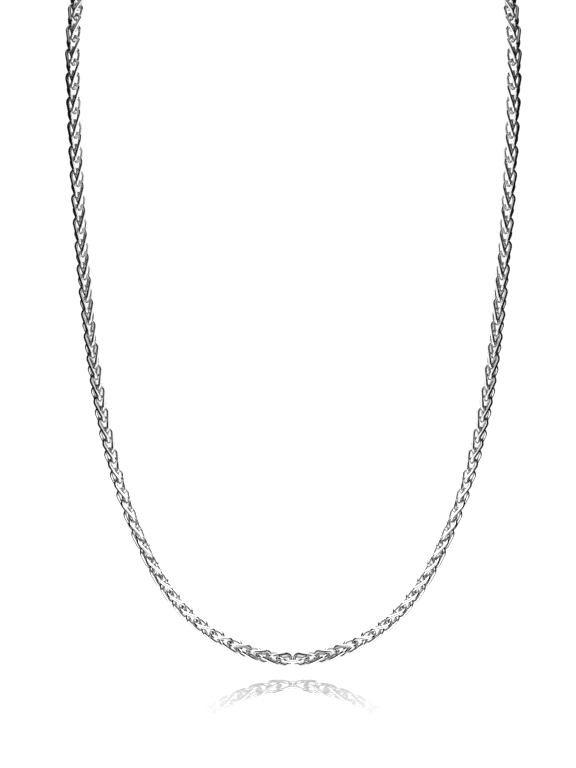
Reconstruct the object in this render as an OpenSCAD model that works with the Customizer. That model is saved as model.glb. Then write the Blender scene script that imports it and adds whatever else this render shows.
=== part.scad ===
// Wheat chain necklace as worn: a closed loop of twisted wire links with a plain barrel clasp at the nape.
// Millimetres. The origin is the middle of the clasp at the nape, the front is -Y and up is +Z.
// The two halves are mirror images, so the weave points up both arms from one link at the bottom.

/* [Chain] */
// Diameter of the wire
wire_d = 0.85; // [0.75:0.01:0.95]
// Room in a link's opening beside the two wires that pass through it
link_room = 0.1; // [0.06:0.02:0.4]
// Length of one repeat of the weave, which is two links
repeat_len = 5.7; // [5.6:0.05:6.6]
// Play between a link and the next but one, which hooks it
hook_play = 0.12; // [0.08:0.01:0.3]
// Slant of a leg where it crosses the middle of a face, in degrees
leg_slant = 20; // [14:1:24]
// How far a bow runs out towards its corner before it turns, as a share of the distance to a leg
bow_fullness = 1.4; // [1.2:0.02:1.45]
// Links in each half that are modelled one by one, all of those at the front
front_links = 64; // [40:1:64]

/* [Clasp] */
// Diameter of the barrel
barrel_d = 4.6; // [3.6:0.1:7]
// Length of the barrel. The posts between it and its eyes take up what is left of the last link.
barrel_len = 9; // [7:0.5:14]
// Rounding of the barrel's ends
barrel_round = 1; // [0.4:0.1:1.6]
// Inside diameter of the eye at each end of the barrel
eye_d = 2.4; // [2.2:0.1:3.4]
// Diameter of the eye's wire
eye_wire_d = 0.9; // [0.7:0.05:1]
// Diameter of the post that carries each eye
post_d = 1.6; // [1.2:0.1:2.4]
// Clearance between the plain stretch at the back and what it meets
back_gap = 0.2; // [0.15:0.05:0.5]

/* [Hidden] */
$fn = 48;

// The middle line of the left half is steered by these points, from the bottom of the front to the nape.
// Its first and last points make the line cross the middle plane at a right angle.
ROUTE = [
    [30, -80, -187], [0, -80, -202], [-30, -80, -187], [-42, -80, -160], [-49, -80, -133],
    [-51.5, -80, -105], [-52.5, -80, -77], [-52.5, -80, -50], [-53, -74, -23], [-48, -48, -4],
    [-33, -15, 0], [-13, 0, 0], [0, 0, 0], [13, 0, 0]
];
// How far the weave is turned about the middle line, as [length from the bottom, degrees]
ROLL = [
    [0, 180], [10, 160], [24, 126], [38, 120], [54, 105], [64, 92], [74, 82], [94, 70], [112, 56], [135, 44],
    [170, 38]
];
// Samples of the middle line between two steering points
SAMPLES = 24;
// Where a quarter of a link has its sections, as shares of its length from the bow to the leg
SECTIONS = [0.1, 0.37, 0.72];
WIRE_SIDES = 5;
BACK_SIDES = 8;

pitch = repeat_len / 2;
chain_w = 4 * wire_d + link_room;
face_r = (chain_w - wire_d) / 2;
half_len = (repeat_len + wire_d + hook_play) / 2;
bow_reach = face_r * bow_fullness;
// The two halves meet in a link that is longer by this much at each end, so that their first tails stay clear
centre_extra = wire_d + hook_play;
DIAG = sqrt(1 / 2);

function unit(v) = v / norm(v);
function reversed(list) = [for (i = [len(list) - 1 : -1 : 0]) list[i]];

// Point and slope of the middle line, a uniform cubic B-spline, at u spans from its start
function span_of(u) = min(floor(u), len(ROUTE) - 4);
function line_point(u) =
    let (k = span_of(u), t = u - k)
    (pow(1 - t, 3) * ROUTE[k] + (3 * pow(t, 3) - 6 * t * t + 4) * ROUTE[k + 1]
        + (-3 * pow(t, 3) + 3 * t * t + 3 * t + 1) * ROUTE[k + 2] + pow(t, 3) * ROUTE[k + 3]) / 6;
function line_slope(u) =
    let (k = span_of(u), t = u - k)
    (-pow(1 - t, 2) * ROUTE[k] + (3 * t * t - 4 * t) * ROUTE[k + 1]
        + (-3 * t * t + 2 * t + 1) * ROUTE[k + 2] + t * t * ROUTE[k + 3]) / 2;

SPANS = len(ROUTE) - 3;
LINE = [for (i = [0 : SPANS * SAMPLES]) line_point(i / SAMPLES)];
function step_to(i) = i < len(LINE) ? norm(LINE[i] - LINE[i - 1]) : 0;
// Length of the middle line up to each sample, paired with the spans from its start
REACHED = [for (i = 0, run = 0; i < len(LINE); i = i + 1, run = run + step_to(i)) [run, i / SAMPLES]];
line_len = REACHED[len(REACHED) - 1][0];

// The chain's own axes at a length from the bottom: [point, front, inner side, along towards the nape]
function axes_at(s) =
    let (
        u = lookup(s, REACHED),
        point = line_point(u),
        along = unit(line_slope(u)),
        back = 1 - point.y / ROUTE[0].y,
        guide = [0, back - 1, back],
        front = unit(guide - (guide * along) * along),
        inner = cross(along, front),
        roll = lookup(s, ROLL)
    )
    [point, cos(roll) * front + sin(roll) * inner, cos(roll) * inner - sin(roll) * front, along];

// A place and a direction given in the chain's axes: front, inner side and along
function place(axes, front, inner) = axes[0] + front * axes[1] + inner * axes[2];
function heading(axes, front, inner, along) = front * axes[1] + inner * axes[2] + along * axes[3];

// The arc that leaves from towards corner and arrives at to, as [centre, inward, leaving, radius, turn]
function arc(from, corner, to) =
    let (
        leaving = unit(corner - from),
        arriving = unit(to - corner),
        turn = acos(leaving * arriving),
        radius = norm(corner - from) / tan(turn / 2),
        inward = unit(arriving - (arriving * leaving) * leaving)
    )
    [from + radius * inward, inward, leaving, radius, turn];
function arc_len(a) = a[3] * a[4] * PI / 180;
// Point and direction on an arc after a length
function arc_station(a, length) =
    let (angle = length / a[3] * 180 / PI)
    [a[0] + a[3] * (sin(angle) * a[2] - cos(angle) * a[1]), cos(angle) * a[2] + sin(angle) * a[1]];

// A quarter of a link as points and directions: from the top of a bow, round its corner, to a leg's middle
function quarter(bow, bow_dir, leg, leg_dir) =
    let (
        across = leg - bow,
        leg_reach = (across * across - 2 * bow_reach * (across * bow_dir))
            / (2 * (across * leg_dir + bow_reach * (1 - bow_dir * leg_dir))),
        bow_corner = bow + bow_reach * bow_dir,
        leg_corner = leg - leg_reach * leg_dir,
        meeting = (leg_reach * bow_corner + bow_reach * leg_corner) / (bow_reach + leg_reach),
        bend = arc(bow, bow_corner, meeting),
        shank = arc(meeting, leg_corner, leg),
        whole = arc_len(bend) + arc_len(shank)
    )
    [for (share = SECTIONS)
        share * whole < arc_len(bend)
            ? arc_station(bend, share * whole)
            : arc_station(shank, share * whole - arc_len(bend))];
// The same quarter walked the other way
function back_along(stations) = [for (st = reversed(stations)) [st[0], -st[1]]];

// Corners of a section of radius r, with a flat side towards centre
function section(station, centre, r, sides) =
    let (
        out = station[0] - centre,
        up = unit(out - (out * station[1]) * station[1]),
        across = cross(station[1], up)
    )
    [for (k = [0 : sides - 1])
        station[0] + r * (cos(k * 360 / sides) * up + sin(k * 360 / sides) * across)];

// Two triangles for each side of each stretch between one section and the next
function side_faces(sections, sides, closed) =
    [for (i = [0 : sections - (closed ? 1 : 2)], k = [0 : sides - 1], half = [0, 1])
        let (
            a = i * sides,
            b = (i + 1) % sections * sides,
            next = (k + 1) % sides
        )
        half == 0 ? [a + k, b + k, b + next] : [a + k, b + next, a + next]];

// A closed loop of wire through stations about centre
module wire_loop(stations, centre) {
    polyhedron(
        points = [for (st = stations) each section(st, centre, wire_d / 2, WIRE_SIDES)],
        faces = side_faces(len(stations), WIRE_SIDES, true)
    );
}

// One link about the length s. Odd links are even ones mirrored across the diagonal of the heads.
module link(s, odd) {
    head = axes_at(s + half_len);
    middle = axes_at(s);
    tail = axes_at(s - half_len);
    side = sin(leg_slant);
    down = cos(leg_slant);
    // Middles of the two legs, and how each runs there
    leg_a = odd ? place(middle, 0, -face_r) : place(middle, face_r, 0);
    leg_b = odd ? place(middle, 0, face_r) : place(middle, -face_r, 0);
    a_dir = odd ? heading(middle, side, 0, -down) : heading(middle, 0, -side, -down);
    b_dir = odd ? heading(middle, side, 0, down) : heading(middle, 0, -side, down);
    head_dir = (odd ? -1 : 1) * heading(head, DIAG, DIAG, 0);
    tail_dir = heading(tail, -DIAG, DIAG, 0);
    wire_loop(
        concat(
            quarter(head[0], head_dir, leg_a, a_dir),
            back_along(quarter(tail[0], -tail_dir, leg_a, -a_dir)),
            quarter(tail[0], tail_dir, leg_b, b_dir),
            back_along(quarter(head[0], -head_dir, leg_b, -b_dir))
        ),
        middle[0]
    );
}

// The front links of one half, from the bottom up
module front_half() {
    for (i = [1 : front_links])
        link(i * pitch + centre_extra, i % 2 == 1);
}

module chain_left() {
    color("silver")
        front_half();
}

module chain_right() {
    color("silver")
        mirror([1, 0, 0])
            front_half();
}

function mirrored(v) = [-v.x, v.y, v.z];

// The link in which the two halves meet: it has a head at both ends, and its legs run straight
module centre_link() {
    bow = axes_at(half_len + centre_extra);
    middle = axes_at(0);
    bow_dir = heading(bow, DIAG, DIAG, 0);
    left_front = quarter(bow[0], bow_dir, place(middle, face_r, 0), -middle[3]);
    left_back = quarter(bow[0], -bow_dir, place(middle, -face_r, 0), -middle[3]);
    left_side = concat(back_along(left_back), left_front);
    // The right side is the mirror image, walked on in the same sense
    right_side = [for (st = back_along(left_side)) [mirrored(st[0]), mirrored(st[1])]];
    color("silver")
        wire_loop(concat(left_side, right_side), middle[0]);
}

// Distance between the middle lines of a bow and of the eye that hooks it
hooking = (wire_d + eye_wire_d) / 2 + hook_play;
eye_r = (eye_d + eye_wire_d) / 2;
// Links in each half, as many as the line takes with the eye and half the barrel
link_count = floor((line_len - barrel_len / 2 - 2 * eye_r + hooking - half_len - centre_extra) / pitch);
last_bow = link_count * pitch + centre_extra + half_len;
eye_centre = last_bow - hooking + eye_r;
// Distance from the barrel's middle to where each post meets its eye
post_end = line_len - eye_centre - eye_r;
// The plain stretch runs from the last front link to the eye
back_start = front_links * pitch + centre_extra + half_len + wire_d / 2 + back_gap;
back_end = eye_centre - eye_r - eye_wire_d / 2 - back_gap;

// Outer form of the links round the neck, as a plain tube of their width
module back_half() {
    sections = ceil((back_end - back_start) / (2 * chain_w)) + 1;
    corners = [
        for (i = [0 : sections - 1])
            let (axes = axes_at(back_start + (back_end - back_start) * i / (sections - 1)))
            for (k = [0 : BACK_SIDES - 1])
                let (angle = (k + 0.5) * 360 / BACK_SIDES)
                place(axes, chain_w / 2 * cos(angle), chain_w / 2 * sin(angle))
    ];
    polyhedron(
        points = corners,
        faces = concat(
            side_faces(sections, BACK_SIDES, false),
            [[for (k = [0 : BACK_SIDES - 1]) k]],
            [[for (k = [BACK_SIDES - 1 : -1 : 0]) (sections - 1) * BACK_SIDES + k]]
        )
    );
}

module back_left() {
    color("silver")
        back_half();
}

module back_right() {
    color("silver")
        mirror([1, 0, 0])
            back_half();
}

// Eye at one end of the clasp, square to the last link's bow
module eye() {
    axes = axes_at(eye_centre);
    axis = heading(axes, DIAG, DIAG, 0);
    across = cross(axis, axes[3]);
    multmatrix([for (k = [0 : 2]) [axes[3][k], across[k], axis[k], axes[0][k]]])
        rotate_extrude()
            translate([eye_r, 0])
                circle(d = eye_wire_d);
}

module clasp() {
    color("silver") {
        rotate([0, 90, 0])
            rotate_extrude()
                barrel_profile();
        eye();
        mirror([1, 0, 0])
            eye();
    }
}

// Half the outline of the barrel and its posts, beside their axis
module barrel_profile() {
    barrel_r = barrel_d / 2;
    translate([0, -post_end])
        square([post_d / 2, 2 * post_end]);
    translate([0, -barrel_len / 2])
        square([barrel_r - barrel_round, barrel_len]);
    translate([0, barrel_round - barrel_len / 2])
        square([barrel_r, barrel_len - 2 * barrel_round]);
    for (end = [-1, 1])
        translate([barrel_r - barrel_round, end * (barrel_len / 2 - barrel_round)])
            circle(r = barrel_round);
}

chain_left();
chain_right();
centre_link();
back_left();
back_right();
clasp();
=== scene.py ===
"""Wheat chain necklace as worn: its links and clasp, their polished silver, the studio and the camera.

Lengths are in metres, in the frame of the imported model: the origin is the middle of the clasp at the nape,
the front is -Y and up is +Z. Angles are in degrees where a name ends in _deg, and in radians elsewhere.
"""

import logging
import math
from dataclasses import dataclass
from enum import Enum
from functools import cached_property
from typing import ClassVar

import bpy
import numpy as np
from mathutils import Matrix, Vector


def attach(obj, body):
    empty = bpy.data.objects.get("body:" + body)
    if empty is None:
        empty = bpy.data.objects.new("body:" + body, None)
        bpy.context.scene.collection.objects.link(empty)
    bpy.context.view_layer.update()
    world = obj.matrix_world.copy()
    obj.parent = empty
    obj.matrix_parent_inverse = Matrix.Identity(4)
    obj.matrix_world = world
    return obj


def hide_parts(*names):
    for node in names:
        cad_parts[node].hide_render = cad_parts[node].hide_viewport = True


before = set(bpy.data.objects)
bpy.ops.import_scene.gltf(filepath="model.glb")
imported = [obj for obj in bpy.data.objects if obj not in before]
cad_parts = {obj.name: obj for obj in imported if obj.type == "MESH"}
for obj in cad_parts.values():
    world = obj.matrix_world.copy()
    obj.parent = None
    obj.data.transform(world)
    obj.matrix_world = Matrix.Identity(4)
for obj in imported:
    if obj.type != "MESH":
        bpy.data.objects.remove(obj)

LOG = logging.getLogger("necklace")
BODY = "root"
DIAGONAL = math.sqrt(0.5)
TINY = 1e-9
WHITE = (1.0, 1.0, 1.0, 1.0)
OTHER_HALF = np.array([-1.0, 1.0, 1.0])
MIDDLE_TONE = 0.5

# Steering points of the left half's middle line, from the bottom of the front to the nape
ROUTE = (
    (0.030, -0.080, -0.187), (0.0, -0.080, -0.202), (-0.030, -0.080, -0.187), (-0.042, -0.080, -0.160),
    (-0.049, -0.080, -0.133), (-0.0515, -0.080, -0.105), (-0.0525, -0.080, -0.077), (-0.0525, -0.080, -0.050),
    (-0.053, -0.074, -0.023), (-0.048, -0.048, -0.004), (-0.033, -0.015, 0.0), (-0.013, 0.0, 0.0),
    (0.0, 0.0, 0.0), (0.013, 0.0, 0.0),
)
# How far the weave is turned about the middle line: length from the bottom, and degrees
ROLL = (
    (0.0, 180.0), (0.010, 160.0), (0.024, 126.0), (0.038, 120.0), (0.054, 105.0), (0.064, 92.0),
    (0.074, 82.0), (0.094, 70.0), (0.112, 56.0), (0.135, 44.0), (0.170, 38.0),
)


class Side(Enum):
    """The two halves of the necklace, as the names of pieces and nodes end."""

    LEFT = "left"
    RIGHT = "right"


class Slot(Enum):
    """The record's material slots."""

    CHAIN = "silver"
    CLASP = "clasp_silver"


def unit(vectors: np.ndarray) -> np.ndarray:
    """Scale vectors to length one, along the last axis."""
    return vectors / np.linalg.norm(vectors, axis=-1, keepdims=True)


def smoothstep(values: np.ndarray, low: float, high: float) -> np.ndarray:
    """Rise smoothly from 0 at low to 1 at high."""
    t = np.clip((values - low) / (high - low), 0.0, 1.0)
    return t * t * (3.0 - 2.0 * t)


def round_angles(count: int) -> np.ndarray:
    """Equal steps once round a circle, in radians."""
    return np.arange(count) * 2 * math.pi / count


@dataclass(frozen=True)
class Weave:
    """Sizes of the links and of how they hook each other."""

    wire_d: float = 0.00085
    link_room: float = 0.0001
    repeat_len: float = 0.0057
    hook_play: float = 0.00012
    leg_slant_deg: float = 20.0
    bow_fullness: float = 1.4
    front_links: int = 64

    @property
    def pitch(self) -> float:
        """Distance from one link to the next."""
        return self.repeat_len / 2

    @property
    def chain_w(self) -> float:
        """Width of the chain over its legs."""
        return 4 * self.wire_d + self.link_room

    @property
    def face_r(self) -> float:
        """Distance of a leg's middle from the chain's middle line."""
        return (self.chain_w - self.wire_d) / 2

    @property
    def half_len(self) -> float:
        """Distance from a link's middle to the top of its bow."""
        return (self.repeat_len + self.wire_d + self.hook_play) / 2

    @property
    def centre_extra(self) -> float:
        """How much longer each half of the centre link is than half a link."""
        return self.wire_d + self.hook_play

    def middle_of(self, number: int) -> float:
        """Length from the bottom of the necklace to the middle of the link with this number."""
        return number * self.pitch + self.centre_extra


@dataclass(frozen=True)
class Axes:
    """The chain's own axes at one place."""

    point: np.ndarray
    front: np.ndarray
    inner: np.ndarray
    along: np.ndarray

    def place(self, front: float, inner: float) -> np.ndarray:
        """The point at these distances from the middle line."""
        return self.point + front * self.front + inner * self.inner

    def heading(self, front: float, inner: float, along: float) -> np.ndarray:
        """The direction with these shares of the three axes."""
        return front * self.front + inner * self.inner + along * self.along


@dataclass(frozen=True)
class ChainLine:
    """Middle line of the left half, a uniform cubic B-spline with a roll along it."""

    steering: np.ndarray
    roll: np.ndarray
    samples: int = 24

    def _span(self, place: float) -> tuple[np.ndarray, float]:
        """The four steering points that shape the line at a place, and the share run of their span."""
        first = min(int(place), len(self.steering) - 4)
        return self.steering[first : first + 4], place - first

    def point_at(self, place: float) -> np.ndarray:
        """Find the point of the line at a place.

        Args:
            place: how far along the line, in spans.

        Returns:
            The point.
        """
        points, t = self._span(place)
        weights = ((1 - t) ** 3, 3 * t**3 - 6 * t * t + 4, -3 * t**3 + 3 * t * t + 3 * t + 1, t**3)
        return np.array(weights) @ points / 6

    def slope_at(self, place: float) -> np.ndarray:
        """Find the slope of the line at a place.

        Args:
            place: how far along the line, in spans.

        Returns:
            The change of the point per span.
        """
        points, t = self._span(place)
        weights = (-((1 - t) ** 2), 3 * t * t - 4 * t, -3 * t * t + 2 * t + 1, t * t)
        return np.array(weights) @ points / 2

    @cached_property
    def _table(self) -> tuple[np.ndarray, np.ndarray]:
        """Measure the line at its samples.

        Returns:
            The length run at each sample, and the sample's place in spans.
        """
        places = np.arange((len(self.steering) - 3) * self.samples + 1) / self.samples
        points = np.array([self.point_at(place) for place in places])
        steps = np.linalg.norm(np.diff(points, axis=0), axis=1)
        return np.concatenate([[0.0], np.cumsum(steps)]), places

    @property
    def length(self) -> float:
        """Length of the line."""
        return float(self._table[0][-1])

    def axes_at(self, length: float) -> Axes:
        """The chain's axes at a length from the bottom.

        Args:
            length: how far along the line.

        Returns:
            The point there with the front, inner and along directions, rolled as the weave is.
        """
        place = float(np.interp(length, *self._table))
        point = self.point_at(place)
        along = unit(self.slope_at(place))
        # The face that looks forward at the front of the necklace looks up at the nape
        share_back = 1 - point[1] / self.steering[0][1]
        guide = np.array([0.0, share_back - 1, share_back])
        front = unit(guide - (guide @ along) * along)
        inner = np.cross(along, front)
        roll = math.radians(float(np.interp(length, self.roll[:, 0], self.roll[:, 1])))
        return Axes(
            point,
            math.cos(roll) * front + math.sin(roll) * inner,
            math.cos(roll) * inner - math.sin(roll) * front,
            along,
        )


@dataclass(frozen=True)
class Stations:
    """Points along a wire with the wire's direction at each."""

    points: np.ndarray
    directions: np.ndarray

    def back(self) -> "Stations":
        """The same stations walked the other way."""
        return Stations(self.points[::-1], -self.directions[::-1])

    def mirrored(self) -> "Stations":
        """The stations mirrored to the other half."""
        return Stations(self.points * OTHER_HALF, self.directions * OTHER_HALF)

    @staticmethod
    def joined(*parts: "Stations") -> "Stations":
        """The parts one after the other."""
        return Stations(
            np.concatenate([p.points for p in parts]),
            np.concatenate([p.directions for p in parts]),
        )


def arc_stations(start: np.ndarray, corner: np.ndarray, end: np.ndarray, count: int) -> Stations:
    """Place stations on the arc that leaves start towards corner and arrives at end from there.

    Args:
        start: where the arc begins.
        corner: where its two end tangents cross.
        end: where it ends, as far from the corner as start is.
        count: how many stations, in the middles of as many equal steps.

    Returns:
        The stations.
    """
    leaving = unit(corner - start)
    arriving = unit(end - corner)
    turn = math.acos(float(np.clip(leaving @ arriving, -1.0, 1.0)))
    radius = float(np.linalg.norm(corner - start)) / math.tan(turn / 2)
    inward = unit(arriving - (arriving @ leaving) * leaving)
    angles = (np.arange(count)[:, None] + 0.5) / count * turn
    points = start + radius * inward + radius * (np.sin(angles) * leaving - np.cos(angles) * inward)
    return Stations(points, np.cos(angles) * leaving + np.sin(angles) * inward)


@dataclass(frozen=True)
class Surface:
    """Part of a mesh, with the values that its finish reads at each vertex."""

    vertices: np.ndarray
    quads: np.ndarray
    crevice: np.ndarray
    grain: np.ndarray
    tone: np.ndarray

    def mirrored(self) -> "Surface":
        """The part mirrored to the other half, with its faces still looking outwards."""
        vertices = self.vertices * OTHER_HALF
        return Surface(vertices, self.quads[:, ::-1], self.crevice, self.grain, self.tone)

    @staticmethod
    def joined(parts: list["Surface"]) -> "Surface":
        """The parts as one."""
        firsts = np.cumsum([0] + [len(p.vertices) for p in parts[:-1]])
        return Surface(
            np.concatenate([p.vertices for p in parts]),
            np.concatenate([p.quads + first for p, first in zip(parts, firsts)]),
            np.concatenate([p.crevice for p in parts]),
            np.concatenate([p.grain for p in parts]),
            np.concatenate([p.tone for p in parts]),
        )

    def to_object(self, name: str, material: bpy.types.Material) -> bpy.types.Object:
        """Make the Blender object.

        Args:
            name: the piece's name.
            material: what it is made of.

        Returns:
            A smoothly shaded object at the origin, linked to the scene.
        """
        mesh = bpy.data.meshes.new(name)
        mesh.from_pydata(self.vertices.tolist(), [], self.quads.tolist())
        mesh.polygons.foreach_set("use_smooth", np.ones(len(self.quads), dtype=bool))
        for label, kind, slot, values in (
            ("crevice", "FLOAT", "value", self.crevice),
            ("tone", "FLOAT", "value", self.tone),
            ("grain", "FLOAT_VECTOR", "vector", self.grain),
        ):
            layer = mesh.attributes.new(label, kind, "POINT")
            layer.data.foreach_set(slot, values.ravel().astype(np.float32))
        mesh.materials.append(material)
        mesh.update()
        piece = bpy.data.objects.new(name, mesh)
        bpy.context.scene.collection.objects.link(piece)
        return piece


def ring_quads(rings: int, sides: int, closed: bool) -> np.ndarray:
    """The quads between rings of vertices.

    Args:
        rings: how many rings there are.
        sides: how many vertices each ring has.
        closed: whether the last ring meets the first.

    Returns:
        Rows of four vertex numbers.
    """
    ring = np.arange(rings if closed else rings - 1)[:, None] * sides
    side = np.arange(sides)[None, :]
    next_ring = (ring + sides) % (rings * sides)
    next_side = (side + 1) % sides
    corners = (ring + next_side, next_ring + next_side, next_ring + side, ring + side)
    return np.stack(corners, axis=-1).reshape(-1, 4)


def disc_quads(first: int, sides: int) -> np.ndarray:
    """The quads that close a ring of vertices with strips across it.

    Args:
        first: number of the ring's first vertex.
        sides: how many vertices the ring has, an even number.

    Returns:
        Rows of four vertex numbers.
    """
    strip = np.arange(sides // 2 - 1)
    return first + np.stack([strip, strip + 1, sides - 2 - strip, sides - 1 - strip], axis=-1)


@dataclass(frozen=True)
class RoundWire:
    """Wire that is swept round a closed loop, with the seam where its ends were soldered."""

    diameter: float
    sides: int = 16
    seam_swell: float = 0.03
    seam_width: float = 0.00022
    grain_stretch: float = 14.0

    def swept(self, stations: Stations, centre: np.ndarray) -> tuple[np.ndarray, np.ndarray, np.ndarray]:
        """Sweep the wire through the stations of a closed loop.

        Args:
            stations: the wire's middle line, whose first station is at the seam.
            centre: the middle of the loop.

        Returns:
            The vertices, their outward normals, and the grain coordinates of each.
        """
        out = stations.points - centre
        along = (out * stations.directions).sum(axis=1, keepdims=True)
        up = unit(out - along * stations.directions)
        across = np.cross(stations.directions, up)
        steps = np.linalg.norm(np.roll(stations.points, -1, axis=0) - stations.points, axis=1)
        run = np.cumsum(steps) - steps[0]
        from_seam = np.minimum(run, run[-1] + steps[-1] - run)
        swell = self.seam_swell * np.exp(-((from_seam / self.seam_width) ** 2))
        radius = self.diameter / 2 * (1 + swell)
        angle = round_angles(self.sides)
        cosine = np.cos(angle)[None, :, None]
        sine = np.sin(angle)[None, :, None]
        normals = cosine * up[:, None] + sine * across[:, None]
        vertices = stations.points[:, None] + radius[:, None, None] * normals
        grain = np.empty_like(vertices)
        grain[..., 0] = np.cos(angle) * self.diameter / 2
        grain[..., 1] = np.sin(angle) * self.diameter / 2
        grain[..., 2] = run[:, None] / self.grain_stretch
        return vertices.reshape(-1, 3), normals.reshape(-1, 3), grain.reshape(-1, 3)


@dataclass(frozen=True)
class Link:
    """One link: a loop of wire that twists a quarter turn from its tail to its head."""

    weave: Weave
    line: ChainLine
    bend_steps: int = 11
    shank_steps: int = 9

    def quarter(self, bow: np.ndarray, bow_dir: np.ndarray, leg: np.ndarray, leg_dir: np.ndarray) -> Stations:
        """A quarter of a link, from the top of a bow round its corner to a leg's middle.

        Args:
            bow: top of the bow.
            bow_dir: the wire's direction there.
            leg: middle of the leg.
            leg_dir: the wire's direction there.

        Returns:
            Stations on the bend and on the shank.
        """
        reach = self.weave.face_r * self.weave.bow_fullness
        across = leg - bow
        # As long as lets the arc from the bow run on into the arc to the leg without a kink
        leg_reach = (across @ across - 2 * reach * (across @ bow_dir)) / (
            2 * (across @ leg_dir + reach * (1 - bow_dir @ leg_dir))
        )
        bow_corner = bow + reach * bow_dir
        leg_corner = leg - leg_reach * leg_dir
        meeting = (leg_reach * bow_corner + reach * leg_corner) / (reach + leg_reach)
        return Stations.joined(
            arc_stations(bow, bow_corner, meeting, self.bend_steps),
            arc_stations(meeting, leg_corner, leg, self.shank_steps),
        )

    def loop(self, number: int) -> tuple[Stations, Axes]:
        """Stations round a link of the left half, from the middle of its second leg.

        Args:
            number: the link's number, counted from the centre link.

        Returns:
            The stations, and the chain's axes at the link's middle.
        """
        length = self.weave.middle_of(number)
        head = self.line.axes_at(length + self.weave.half_len)
        middle = self.line.axes_at(length)
        tail = self.line.axes_at(length - self.weave.half_len)
        r = self.weave.face_r
        side = math.sin(math.radians(self.weave.leg_slant_deg))
        down = math.cos(math.radians(self.weave.leg_slant_deg))
        if number % 2:
            legs = middle.place(0, -r), middle.place(0, r)
            runs = middle.heading(side, 0, -down), middle.heading(side, 0, down)
            head_dir = -head.heading(DIAGONAL, DIAGONAL, 0)
        else:
            legs = middle.place(r, 0), middle.place(-r, 0)
            runs = middle.heading(0, -side, -down), middle.heading(0, -side, down)
            head_dir = head.heading(DIAGONAL, DIAGONAL, 0)
        tail_dir = tail.heading(-DIAGONAL, DIAGONAL, 0)
        stations = Stations.joined(
            self.quarter(head.point, -head_dir, legs[1], -runs[1]).back(),
            self.quarter(head.point, head_dir, legs[0], runs[0]),
            self.quarter(tail.point, -tail_dir, legs[0], -runs[0]).back(),
            self.quarter(tail.point, tail_dir, legs[1], runs[1]),
        )
        return stations, middle

    def centre_loop(self) -> tuple[Stations, Axes]:
        """Lay the middle line of the link in which the two halves meet.

        Returns:
            The stations round it, and the chain's axes at its middle.
        """
        bow = self.line.axes_at(self.weave.half_len + self.weave.centre_extra)
        middle = self.line.axes_at(0.0)
        bow_dir = bow.heading(DIAGONAL, DIAGONAL, 0)
        front = self.quarter(bow.point, bow_dir, middle.place(self.weave.face_r, 0), -middle.along)
        back = self.quarter(bow.point, -bow_dir, middle.place(-self.weave.face_r, 0), -middle.along)
        left = Stations.joined(back.back(), front)
        return Stations.joined(left, left.back().mirrored()), middle


@dataclass(frozen=True)
class LinkSurface:
    """Turns a link's stations into a surface, with the shade of its hollows and its own tone.

    A vertex comes out of the hollow over reach, in widths of the chain from its middle line, and over lean,
    which is -1 where the surface faces the middle line and 1 where it faces away.
    """

    weave: Weave
    wire: RoundWire
    reach: tuple[float, float] = (0.1, 0.5)
    lean: tuple[float, float] = (-0.7, 0.6)

    def made(self, stations: Stations, middle: Axes, tone: float) -> Surface:
        """Sweep one link and work out how shut in each of its vertices is.

        Args:
            stations: the link's middle line.
            middle: the chain's axes at the link's middle.
            tone: the link's own shade, from 0 to 1.

        Returns:
            The link's surface.
        """
        vertices, normals, grain = self.wire.swept(stations, middle.point)
        from_middle = vertices - middle.point
        radial = from_middle - (from_middle @ middle.along)[:, None] * middle.along
        distance = np.linalg.norm(radial, axis=1)
        outward = (normals * radial).sum(axis=1) / np.maximum(distance, TINY)
        # How shut in a vertex is darkens it in the finish, for tarnish and for painted shade
        exposed = smoothstep(distance, *(share * self.weave.chain_w for share in self.reach))
        crevice = 1 - exposed * smoothstep(outward, *self.lean)
        quads = ring_quads(len(stations.points), self.wire.sides, True)
        return Surface(vertices, quads, crevice, grain, np.full(len(vertices), tone))


@dataclass
class WheatChain:
    """The chain's links: both halves of the front, the link between them, and those round the neck."""

    weave: Weave
    line: ChainLine
    link_count: int
    seed: int = 11

    @cached_property
    def link(self) -> Link:
        """What lays the middle lines of the links."""
        return Link(self.weave, self.line)

    @cached_property
    def sweep(self) -> LinkSurface:
        """What turns the middle lines into surfaces."""
        return LinkSurface(self.weave, RoundWire(self.weave.wire_d))

    def surface(self, first: int, last: int) -> Surface:
        """Make links of the left half as one surface.

        Args:
            first: number of the first link.
            last: number of the last link.

        Returns:
            The surface of all of them.
        """
        tones = np.random.default_rng(self.seed).random(self.link_count + 1)
        numbers = range(first, last + 1)
        return Surface.joined([self.sweep.made(*self.link.loop(n), tones[n]) for n in numbers])

    def centre_surface(self) -> Surface:
        """The link in which the two halves meet."""
        return self.sweep.made(*self.link.centre_loop(), MIDDLE_TONE)

    def build(self, material: bpy.types.Material) -> list[bpy.types.Object]:
        """Build the five chain pieces, each in place of the node that it stands for, whose part is hidden.

        Args:
            material: the wire's finish.

        Returns:
            The pieces.
        """
        pieces = []
        for part, node, first, last in (
            ("front_links", "chain", 1, self.weave.front_links),
            ("back_links", "back", self.weave.front_links + 1, self.link_count),
        ):
            left = self.surface(first, last)
            for side, surface in ((Side.LEFT, left), (Side.RIGHT, left.mirrored())):
                piece = surface.to_object(f"{part}_{side.value}", material)
                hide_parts(f"{node}_{side.value}")
                pieces.append(piece)
        centre = self.centre_surface().to_object("bottom_link", material)
        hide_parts("centre_link")
        pieces.append(centre)
        for piece in pieces:
            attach(piece, BODY)
        return pieces


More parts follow.
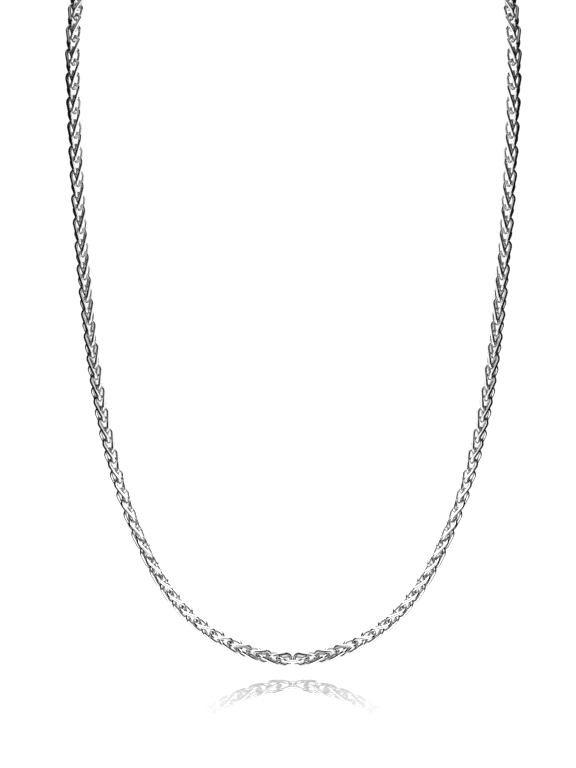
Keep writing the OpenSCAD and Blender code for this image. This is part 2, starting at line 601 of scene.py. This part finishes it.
@dataclass
class BarrelClasp:
    """The clasp at the nape: a barrel that parts in the middle, with a post and an eye at each end.

    split_section holds one half of the groove where it parts: shares of its width out from the middle, and of
    its depth. The groove's shade begins at the share shut_below of its depth. wall_rings are shares of the
    barrel's half length. The posts' fillets take one in fillet_step of the angles of the barrel's corner.
    eye_shade is how squarely the eye's wire faces its middle where it begins to darken and where it is
    darkest.
    """

    weave: Weave
    line: ChainLine
    barrel_d: float = 0.0046
    barrel_len: float = 0.009
    barrel_round: float = 0.001
    eye_d: float = 0.0024
    eye_wire_d: float = 0.0009
    post_d: float = 0.0016
    split_width: float = 0.00016
    split_depth: float = 0.00014
    split_section: tuple[tuple[float, float], ...] = ((0.0, 1.0), (0.3, 1.0), (0.5, 0.25), (0.8, 0.0))
    fillet: float = 0.0002
    wall_rings: tuple[float, ...] = (0.25, 0.5)
    corner_rings: int = 13
    fillet_step: int = 3
    sides: int = 96
    eye_steps: int = 96
    eye_shade: tuple[float, float] = (-0.2, 1.2)
    shut_below: float = 0.2
    grain_stretch: float = 30.0

    @property
    def eye_r(self) -> float:
        """Radius of the eye's middle line."""
        return (self.eye_d + self.eye_wire_d) / 2

    @property
    def hooking(self) -> float:
        """Distance between the middle lines of a bow and of the eye that hooks it."""
        return (self.weave.wire_d + self.eye_wire_d) / 2 + self.weave.hook_play

    @property
    def link_count(self) -> int:
        """Links in each half, as many as the line takes with the eye and half the barrel."""
        taken = (
            self.barrel_len / 2 + 2 * self.eye_r - self.hooking
            + self.weave.half_len + self.weave.centre_extra
        )
        return int((self.line.length - taken) / self.weave.pitch)

    @property
    def eye_centre(self) -> float:
        """Length from the bottom of the necklace to the middle of the eye."""
        last_bow = self.weave.middle_of(self.link_count) + self.weave.half_len
        return last_bow - self.hooking + self.eye_r

    def outline(self) -> np.ndarray:
        """Draw half the section of the barrel and its posts.

        Returns:
            Distances along the axis and from it, from the left post's end to the right one's.
        """
        half = self.barrel_len / 2
        r = self.barrel_d / 2
        post_r = self.post_d / 2
        post_end = self.line.length - self.eye_centre - self.eye_r
        angles = np.linspace(0.0, math.pi / 2, self.corner_rings)
        split = [(self.split_width * out, r - self.split_depth * down) for out, down in self.split_section]
        wall = [(share * half, r) for share in self.wall_rings]
        corner = [
            (half - self.barrel_round * (1 - math.sin(a)), r - self.barrel_round * (1 - math.cos(a)))
            for a in angles
        ]
        foot = [
            (half + self.fillet * (1 - math.sin(a)), post_r + self.fillet * (1 - math.cos(a)))
            for a in angles[:: -self.fillet_step]
        ]
        right = split + wall + corner + foot + [(post_end, post_r)]
        left = [(-x, distance) for x, distance in right[:0:-1]]
        return np.array(left + right)

    def barrel(self) -> Surface:
        """Turn the outline about the X axis and close the posts' ends.

        Returns:
            The surface of the barrel with its posts.
        """
        outline = self.outline()
        angle = round_angles(self.sides)
        spokes = np.stack([np.zeros_like(angle), np.cos(angle), np.sin(angle)], axis=1)
        vertices = outline[:, 1][:, None, None] * spokes[None]
        vertices[..., 0] = outline[:, 0][:, None]
        grain = np.broadcast_to(spokes * self.barrel_d / 2 / self.grain_stretch, vertices.shape).copy()
        grain[..., 0] = outline[:, 0][:, None] + outline[:, 1][:, None]
        # The groove is darkened in the finish, for tarnish and for painted shade
        open_from = self.barrel_d / 2 - self.split_depth * self.shut_below
        shut = 1 - smoothstep(outline[:, 1], self.post_d / 2, open_from)
        crevice = np.repeat(shut[:, None], self.sides, axis=1)
        count = len(outline) * self.sides
        quads = np.concatenate([
            ring_quads(len(outline), self.sides, False),
            disc_quads(0, self.sides)[:, ::-1],
            disc_quads(count - self.sides, self.sides),
        ])
        tone = np.full(count, MIDDLE_TONE)
        return Surface(vertices.reshape(-1, 3), quads, crevice.ravel(), grain.reshape(-1, 3), tone)

    def eye(self) -> Surface:
        """Make the left eye, square to the last link's bow.

        Returns:
            The eye's surface.
        """
        axes = self.line.axes_at(self.eye_centre)
        across = np.cross(axes.heading(DIAGONAL, DIAGONAL, 0), axes.along)
        angle = round_angles(self.eye_steps)[:, None]
        points = axes.point + self.eye_r * (np.cos(angle) * axes.along + np.sin(angle) * across)
        directions = np.cos(angle) * across - np.sin(angle) * axes.along
        wire = RoundWire(self.eye_wire_d)
        vertices, normals, grain = wire.swept(Stations(points, directions), axes.point)
        # The eye's inner side is darkened in the finish, for tarnish and for painted shade
        inward = (normals * (axes.point - vertices)).sum(axis=1) / self.eye_r
        crevice = smoothstep(inward, *self.eye_shade)
        quads = ring_quads(self.eye_steps, wire.sides, True)
        return Surface(vertices, quads, crevice, grain, np.full(len(vertices), MIDDLE_TONE))

    def build(self, material: bpy.types.Material) -> bpy.types.Object:
        """Build the clasp in place of its node.

        Args:
            material: the clasp's finish.

        Returns:
            The piece.
        """
        eye = self.eye()
        piece = Surface.joined([self.barrel(), eye, eye.mirrored()]).to_object("barrel_clasp", material)
        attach(piece, BODY)
        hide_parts("clasp")
        return piece


@dataclass
class NodeCanvas:
    """Adds nodes to a tree and links them, so that a finish reads as a list of steps."""

    tree: bpy.types.NodeTree

    def add(self, kind: str, values: dict | None = None, **settings: object) -> bpy.types.Node:
        """Add a node.

        Args:
            kind: the node's type, without its ShaderNode prefix.
            values: the sockets to fill, by name or number, each with a value or with what feeds it.
            settings: the node's own properties.

        Returns:
            The node.
        """
        node = self.tree.nodes.new("ShaderNode" + kind)
        for name, value in settings.items():
            setattr(node, name, value)
        for name, value in (values or {}).items():
            if isinstance(value, bpy.types.NodeSocket):
                self.tree.links.new(value, node.inputs[name])
            else:
                node.inputs[name].default_value = value
        return node

    def math(self, operation: str, first: object, second: object = 0.0) -> bpy.types.NodeSocket:
        """The result of a Math node."""
        return self.add("Math", {0: first, 1: second}, operation=operation).outputs[0]

    def remap(
        self, value: object, low: float, high: float, to_low: float, to_high: float
    ) -> bpy.types.NodeSocket:
        """The value carried smoothly from one range to another."""
        sockets = {
            "Value": value, "From Min": low, "From Max": high, "To Min": to_low, "To Max": to_high,
        }
        return self.add("MapRange", sockets, interpolation_type="SMOOTHSTEP").outputs["Result"]

    def group(self, tree: bpy.types.NodeTree, values: dict) -> bpy.types.Node:
        """Place an effect that several finishes share."""
        return self.add("Group", values, node_tree=tree)


@dataclass(frozen=True)
class SilverEffects:
    """The effects that the wire's and the clasp's finish share, each a node group.

    A constant that ends in RANGE holds the values between which an effect grows from nothing to full.
    """

    tarnish_and_shade: bpy.types.NodeTree
    polish_lines: bpy.types.NodeTree
    handling: bpy.types.NodeTree

    PATCH_SCALE: ClassVar[float] = 420.0
    PATCH_DETAIL: ClassVar[float] = 4.0
    PATCH_RANGE: ClassVar[tuple[float, float]] = (0.3, 0.7)
    RAGGEDNESS: ClassVar[float] = 0.16
    HOLLOW_RANGE: ClassVar[tuple[float, float]] = (0.25, 0.8)
    TONE_DEPTH: ClassVar[float] = 0.10
    LINE_DETAIL: ClassVar[float] = 3.0
    BAND_COARSENESS: ClassVar[float] = 0.3
    BAND_DETAIL: ClassVar[float] = 2.0
    BAND_RANGE: ClassVar[tuple[float, float]] = (0.35, 0.7)
    SMUDGE_DETAIL: ClassVar[float] = 2.0
    SMUDGE_RANGE: ClassVar[tuple[float, float]] = (0.45, 0.75)
    KNOCK_RANGE: ClassVar[tuple[float, float]] = (0.0, 0.16)
    KNOCK_RISE: ClassVar[float] = 0.25

    @staticmethod
    def _tree(name: str, inputs: dict, outputs: dict) -> tuple[bpy.types.NodeTree, NodeCanvas, dict, dict]:
        """Start a node group.

        Args:
            name: the group's name.
            inputs: socket types by name.
            outputs: socket types by name.

        Returns:
            The group, its canvas, its inputs as they are read inside, and its outputs as they are filled.
        """
        tree = bpy.data.node_groups.new(name, "ShaderNodeTree")
        for direction, sockets in (("INPUT", inputs), ("OUTPUT", outputs)):
            for label, kind in sockets.items():
                tree.interface.new_socket(label, in_out=direction, socket_type="NodeSocket" + kind)
        inside = tree.nodes.new("NodeGroupInput")
        outside = tree.nodes.new("NodeGroupOutput")
        read = {label: inside.outputs[label] for label in inputs}
        fill = {label: outside.inputs[label] for label in outputs}
        return tree, NodeCanvas(tree), read, fill

    @classmethod
    def make_tarnish_and_shade(cls) -> bpy.types.NodeTree:
        """Darken the hollows, for tarnish where a polishing cloth doesn't reach and for painted shade.

        Returns:
            The group, which gives the mixed colour and how far tarnish and painted shade darken it.
        """
        tree, canvas, read, fill = cls._tree(
            "hollow_tarnish_and_shade",
            {
                "Clean": "Color", "Tarnish and shade": "Color", "Crevice": "Float",
                "Amount": "Float", "Tone": "Float",
            },
            {"Color": "Color", "Mask": "Float"},
        )
        place = canvas.add("TexCoord").outputs["Object"]
        noise = {"Vector": place, "Scale": cls.PATCH_SCALE, "Detail": cls.PATCH_DETAIL}
        patches = canvas.add("TexNoise", noise).outputs["Fac"]
        uneven = canvas.remap(patches, *cls.PATCH_RANGE, -cls.RAGGEDNESS, cls.RAGGEDNESS)
        ragged = canvas.math("ADD", read["Crevice"], uneven)
        # Hollows are mixed towards the dark colour, which stands for tarnish and for painted shade
        hollow = canvas.remap(ragged, *cls.HOLLOW_RANGE, 0.0, 1.0)
        mask = canvas.math("MULTIPLY", hollow, read["Amount"])
        shade = canvas.remap(read["Tone"], 0.0, 1.0, 0.0, cls.TONE_DEPTH)
        total = canvas.math("ADD", mask, shade)
        mixed = canvas.add("Mix", {0: total, 6: read["Clean"], 7: read["Tarnish and shade"]}, data_type="RGBA")
        tree.links.new(mixed.outputs[2], fill["Color"])
        tree.links.new(mask, fill["Mask"])
        return tree

    @classmethod
    def make_polish_lines(cls) -> bpy.types.NodeTree:
        """Lay the fine lines that drawing and polishing leave along the grain.

        Returns:
            The group, which gives the height of the lines and a haze in bands.
        """
        tree, canvas, read, fill = cls._tree(
            "polish_lines",
            {"Grain": "Vector", "Fineness": "Float"},
            {"Height": "Float", "Haze": "Float"},
        )
        fine = {"Vector": read["Grain"], "Scale": read["Fineness"], "Detail": cls.LINE_DETAIL}
        lines = canvas.add("TexNoise", fine).outputs["Fac"]
        scale = canvas.math("MULTIPLY", read["Fineness"], cls.BAND_COARSENESS)
        coarse = {"Vector": read["Grain"], "Scale": scale, "Detail": cls.BAND_DETAIL}
        bands = canvas.add("TexNoise", coarse).outputs["Fac"]
        tree.links.new(lines, fill["Height"])
        tree.links.new(canvas.remap(bands, *cls.BAND_RANGE, 0.0, 1.0), fill["Haze"])
        return tree

    @classmethod
    def make_handling(cls) -> bpy.types.NodeTree:
        """Add the small knocks and smudges of being worn.

        Returns:
            The group, which gives the height of the knocks and the smudges.
        """
        tree, canvas, read, fill = cls._tree(
            "handling_marks",
            {"Scale": "Float"},
            {"Height": "Float", "Smudge": "Float"},
        )
        place = canvas.add("TexCoord").outputs["Object"]
        noise = {"Vector": place, "Scale": read["Scale"], "Detail": cls.SMUDGE_DETAIL}
        soft = canvas.add("TexNoise", noise).outputs["Fac"]
        cells = canvas.add("TexVoronoi", {"Vector": place, "Scale": read["Scale"]}).outputs["Distance"]
        knocks = canvas.remap(cells, *cls.KNOCK_RANGE, 0.0, cls.KNOCK_RISE)
        tree.links.new(canvas.math("ADD", soft, knocks), fill["Height"])
        tree.links.new(canvas.remap(soft, *cls.SMUDGE_RANGE, 0.0, 1.0), fill["Smudge"])
        return tree

    @classmethod
    def made(cls) -> "SilverEffects":
        """All of the effects."""
        return cls(cls.make_tarnish_and_shade(), cls.make_polish_lines(), cls.make_handling())


@dataclass(frozen=True)
class PolishedSilver:
    """Bright silver with tarnish and painted shade in its hollows, fine lines along its grain and marks of
    wear.
    """

    name: str
    clean: tuple[float, float, float, float] = (0.93, 0.93, 0.935, 1.0)
    # The dark colour of the hollows stands for tarnish and for painted shade
    tarnish_and_shade: tuple[float, float, float, float] = (0.40, 0.395, 0.39, 1.0)
    tarnish_and_shade_amount: float = 0.40
    roughness: float = 0.10
    haze_roughness: float = 0.06
    tarnish_roughness: float = 0.2
    line_fineness: float = 16000.0
    line_depth: float = 0.0000006
    knock_scale: float = 900.0
    knock_depth: float = 0.000004

    def made(self, effects: SilverEffects) -> bpy.types.Material:
        """Build the material.

        Args:
            effects: the shared node groups.

        Returns:
            The material.
        """
        material = bpy.data.materials.new(self.name)
        material.use_nodes = True
        canvas = NodeCanvas(material.node_tree)
        shader = next(n for n in material.node_tree.nodes if n.type == "BSDF_PRINCIPLED")
        crevice = canvas.add("Attribute", attribute_name="crevice").outputs["Fac"]
        tone = canvas.add("Attribute", attribute_name="tone").outputs["Fac"]
        grain = canvas.add("Attribute", attribute_name="grain").outputs["Vector"]
        # Tarnish and painted shade darken the hollows
        dark = canvas.group(
            effects.tarnish_and_shade,
            {
                "Clean": self.clean, "Tarnish and shade": self.tarnish_and_shade, "Crevice": crevice,
                "Amount": self.tarnish_and_shade_amount, "Tone": tone,
            },
        )
        lines = canvas.group(effects.polish_lines, {"Grain": grain, "Fineness": self.line_fineness})
        marks = canvas.group(effects.handling, {"Scale": self.knock_scale})
        haze = canvas.math("MULTIPLY", lines.outputs["Haze"], self.haze_roughness)
        smudge = canvas.math("MULTIPLY", marks.outputs["Smudge"], self.haze_roughness)
        worn = canvas.math("ADD", canvas.math("ADD", haze, smudge), self.roughness)
        dulled = canvas.math("MULTIPLY", dark.outputs["Mask"], self.tarnish_roughness)
        rough = canvas.math("ADD", worn, dulled)
        knocks = {"Height": marks.outputs["Height"], "Distance": self.knock_depth, "Strength": 1.0}
        knocked = canvas.add("Bump", knocks).outputs["Normal"]
        scratches = {"Height": lines.outputs["Height"], "Distance": self.line_depth, "Strength": 1.0}
        lined = canvas.add("Bump", {**scratches, "Normal": knocked}).outputs["Normal"]
        shader.inputs["Metallic"].default_value = 1.0
        canvas.tree.links.new(dark.outputs["Color"], shader.inputs["Base Color"])
        canvas.tree.links.new(rough, shader.inputs["Roughness"])
        canvas.tree.links.new(lined, shader.inputs["Normal"])
        return material


@dataclass(frozen=True)
class GlowPatch:
    """A soft round patch of light in the surroundings."""

    towards: tuple[float, float, float]
    inner_deg: float
    outer_deg: float
    level: float


@dataclass(frozen=True)
class LightPanel:
    """A flat lamp that shines from one side and that the camera doesn't see."""

    name: str
    middle: tuple[float, float, float]
    size: tuple[float, float]
    turn_deg: float
    level: float

    def build(self) -> None:
        """Hang the panel. Before its turn about Y it faces down, and its size is along X and Y."""
        light = bpy.data.lights.new(self.name, "AREA")
        light.shape = "RECTANGLE"
        light.size, light.size_y = self.size
        light.energy = self.level * math.pi * self.size[0] * self.size[1]
        lamp = bpy.data.objects.new(self.name, light)
        lamp.location = self.middle
        lamp.rotation_euler = (0.0, math.radians(self.turn_deg), 0.0)
        lamp.visible_camera = False
        bpy.context.scene.collection.objects.link(lamp)


@dataclass
class SoftStudio:
    """A pale floor that is glossy under the necklace, a dim tent with soft patches of light, and lamps.

    Each reach, slant, top and ahead holds the values between which a light or a gloss fades out.
    """

    floor_z: float = -0.201
    floor_size: float = 6.0
    floor_gloss: float = 0.6
    floor_roughness: float = 0.04
    gloss_centre: tuple[float, float] = (0.0, -0.090)
    gloss_reach: tuple[float, float] = (0.0, 0.034)
    gloss_slant: tuple[float, float] = (0.49, 0.55)
    white: float = 1.1
    dim: float = 0.004
    strip_level: float = 0.7
    strip_reach: tuple[float, float] = (0.06, 0.22)
    strip_top: tuple[float, float] = (0.4, 0.6)
    strip_ahead: tuple[float, float] = (-0.1, 0.1)
    waist: float = 0.15
    waist_reach: tuple[float, float] = (0.3, 0.45)
    waist_share: float = 0.1
    patches: tuple[GlowPatch, ...] = (
        GlowPatch((0.0, 0.86, 0.51), 28.0, 42.0, 1.12),
        GlowPatch((0.0, -0.75, -0.65), 15.0, 38.0, 0.4),
        GlowPatch((0.0, 0.0, 1.0), 15.0, 35.0, 0.35),
    )
    panels: tuple[LightPanel, ...] = (
        LightPanel("inner_left", (-0.001, -0.05, -0.086), (0.172, 0.20), 90.0, 1.1),
        LightPanel("inner_right", (0.001, -0.05, -0.086), (0.172, 0.20), -90.0, 1.1),
        LightPanel("inner_low", (0.0, -0.18, -0.135), (0.07, 0.24), 0.0, 1.0),
        LightPanel("bounce", (0.0, -0.17, -0.245), (0.12, 0.16), 180.0, 1.25),
    )

    def build(self) -> None:
        """Set up the floor, the surroundings and the lamps."""
        self.floor()
        self.surroundings()
        for panel in self.panels:
            panel.build()

    def floor(self) -> None:
        """Lay the floor."""
        half = self.floor_size / 2
        mesh = bpy.data.meshes.new("floor")
        corners = [(x * half, y * half, self.floor_z) for x, y in ((-1, -1), (1, -1), (1, 1), (-1, 1))]
        mesh.from_pydata(corners, [], [(0, 1, 2, 3)])
        floor = bpy.data.objects.new("floor", mesh)
        bpy.context.scene.collection.objects.link(floor)
        material = bpy.data.materials.new("floor_white")
        material.use_nodes = True
        canvas = NodeCanvas(material.node_tree)
        canvas.tree.nodes.clear()
        matt = canvas.add("Emission", {"Strength": self.white}).outputs[0]
        gloss = canvas.add("BsdfGlossy", {"Color": WHITE, "Roughness": self.floor_roughness}).outputs[0]
        place = canvas.add("TexCoord").outputs["Object"]
        spot = (*self.gloss_centre, self.floor_z)
        away = canvas.add("VectorMath", {0: place, 1: spot}, operation="DISTANCE").outputs["Value"]
        near = canvas.remap(away, *self.gloss_reach, self.floor_gloss, 0.0)
        slant = canvas.add("LayerWeight").outputs["Facing"]
        share = canvas.math("MULTIPLY", near, canvas.remap(slant, *self.gloss_slant, 1.0, 0.0))
        shown = canvas.add("MixShader", {0: share, 1: matt, 2: gloss}).outputs[0]
        unseen = canvas.add("BsdfTransparent").outputs[0]
        direct = canvas.add("LightPath").outputs["Is Camera Ray"]
        either = canvas.add("MixShader", {0: direct, 1: unseen, 2: shown}).outputs[0]
        canvas.add("OutputMaterial", {"Surface": either})
        mesh.materials.append(material)

    def surroundings(self) -> None:
        """Light the dim tent with its patches, and show white beyond the necklace."""
        world = bpy.data.worlds.new("light_tent")
        bpy.context.scene.world = world
        world.use_nodes = True
        canvas = NodeCanvas(world.node_tree)
        canvas.tree.nodes.clear()
        way = canvas.add("TexCoord").outputs["Generated"]
        x, y, z = canvas.add("SeparateXYZ", {0: way}).outputs
        from_waist = canvas.math("ABSOLUTE", canvas.math("SUBTRACT", z, self.waist))
        narrow = canvas.remap(canvas.math("ABSOLUTE", x), *self.strip_reach, self.strip_level, 0.0)
        slim = canvas.remap(from_waist, *self.waist_reach, self.waist_share, 1.0)
        below = canvas.math("MULTIPLY", slim, canvas.remap(z, *self.strip_top, 1.0, 0.0))
        ahead = canvas.remap(y, *self.strip_ahead, 1.0, 0.0)
        total = canvas.math("MULTIPLY", narrow, canvas.math("MULTIPLY", below, ahead))
        total = canvas.math("ADD", total, self.dim)
        for patch in self.patches:
            towards = tuple(Vector(patch.towards).normalized())
            dot = canvas.add("VectorMath", {0: way, 1: towards}, operation="DOT_PRODUCT")
            edge, core = (math.cos(math.radians(a)) for a in (patch.outer_deg, patch.inner_deg))
            lit = canvas.remap(dot.outputs["Value"], edge, core, 0.0, patch.level)
            total = canvas.math("ADD", total, lit)
        seen = canvas.add("LightPath").outputs["Is Camera Ray"]
        strength = canvas.add("Mix", {0: seen, 2: total, 3: self.white}).outputs[0]
        glow = canvas.add("Background", {"Color": WHITE, "Strength": strength}).outputs[0]
        canvas.add("OutputWorld", {"Surface": glow})


@dataclass(frozen=True)
class PhotoCamera:
    """The camera, as the photograph's perspective gives it."""

    aim: tuple[float, float, float] = (0.0, -0.080, -0.1187)
    aside: float = -0.0013
    distance: float = 0.2434
    elevation_deg: float = 14.0
    focal_px: float = 950.0
    photo_height_px: float = 768.0
    sensor_mm: float = 36.0
    clip: tuple[float, float] = (0.01, 50.0)

    def build(self) -> None:
        """Place the camera and make it the scene's."""
        data = bpy.data.cameras.new("camera")
        data.sensor_width = self.sensor_mm
        data.lens = self.sensor_mm * self.focal_px / self.photo_height_px
        data.clip_start, data.clip_end = self.clip
        camera = bpy.data.objects.new("camera", data)
        tilt = math.radians(self.elevation_deg)
        back = Vector((0.0, -math.cos(tilt), math.sin(tilt)))
        camera.location = Vector(self.aim) + Vector((self.aside, 0.0, 0.0)) + back * self.distance
        camera.rotation_euler = (math.pi / 2 - tilt, 0.0, 0.0)
        bpy.context.scene.collection.objects.link(camera)
        bpy.context.scene.camera = camera


def report(piece: bpy.types.Object) -> None:
    """Log a piece's name and its triangles."""
    LOG.info("%s: %d triangles", piece.name, sum(len(p.vertices) - 2 for p in piece.data.polygons))


def main() -> None:
    """Build the necklace in its studio, and log each piece's triangles."""
    logging.basicConfig(level=logging.INFO, format="%(message)s")
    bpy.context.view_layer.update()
    weave = Weave()
    line = ChainLine(np.array(ROUTE), np.array(ROLL))
    effects = SilverEffects.made()
    clasp = BarrelClasp(weave, line)
    chain = WheatChain(weave, line, clasp.link_count)
    for piece in chain.build(PolishedSilver("chain_silver").made(effects)):
        report(piece)
    clasp_silver = PolishedSilver("clasp_silver", tarnish_and_shade_amount=0.5, knock_scale=500.0)
    report(clasp.build(clasp_silver.made(effects)))
    SoftStudio().build()
    PhotoCamera().build()
    bpy.context.scene.view_settings.view_transform = "Standard"


if __name__ == "__main__":
    main()
